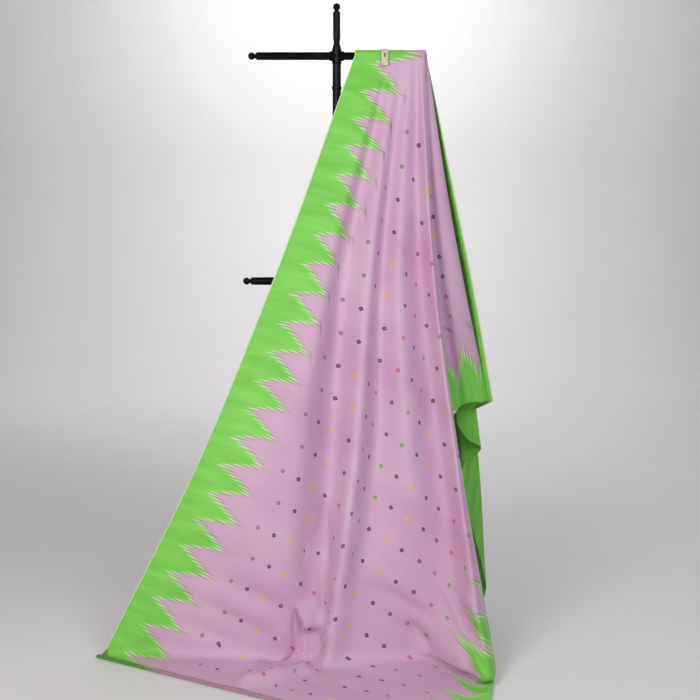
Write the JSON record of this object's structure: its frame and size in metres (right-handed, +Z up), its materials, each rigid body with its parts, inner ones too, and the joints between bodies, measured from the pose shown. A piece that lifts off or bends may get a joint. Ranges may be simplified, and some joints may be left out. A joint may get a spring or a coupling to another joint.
{
  "type": "gadwal sari hanging from a display stand",
  "caption": "Long woven sari hung in a fan from the upper arm of a two-armed display stand, its foot lying on the floor.",
  "frame": {"origin": "centre of the base plate's underside, on the floor under the post", "axes": "+Z up along the post, +X along the upper arm that carries the sari, to the viewer's right, +Y away from the viewer"},
  "size_m": [1.1182, 1.0419, 1.805],
  "materials": {
    "lacquer": "satin black lacquer",
    "silk": "handwoven silk, lilac pink with a green border",
    "clip_plastic": "moulded cream plastic"
  },
  "bodies": {
    "root": {"base_plate": "lacquer", "post_lower": "lacquer", "post_middle": "lacquer", "post_top": "lacquer", "hub_upper": "lacquer", "hub_lower": "lacquer", "arm_upper_left": "lacquer", "arm_upper_right": "lacquer", "arm_lower_left": "lacquer", "arm_lower_right": "lacquer", "sari": "silk", "clip": "clip_plastic"}
  },
  "joints": []
}
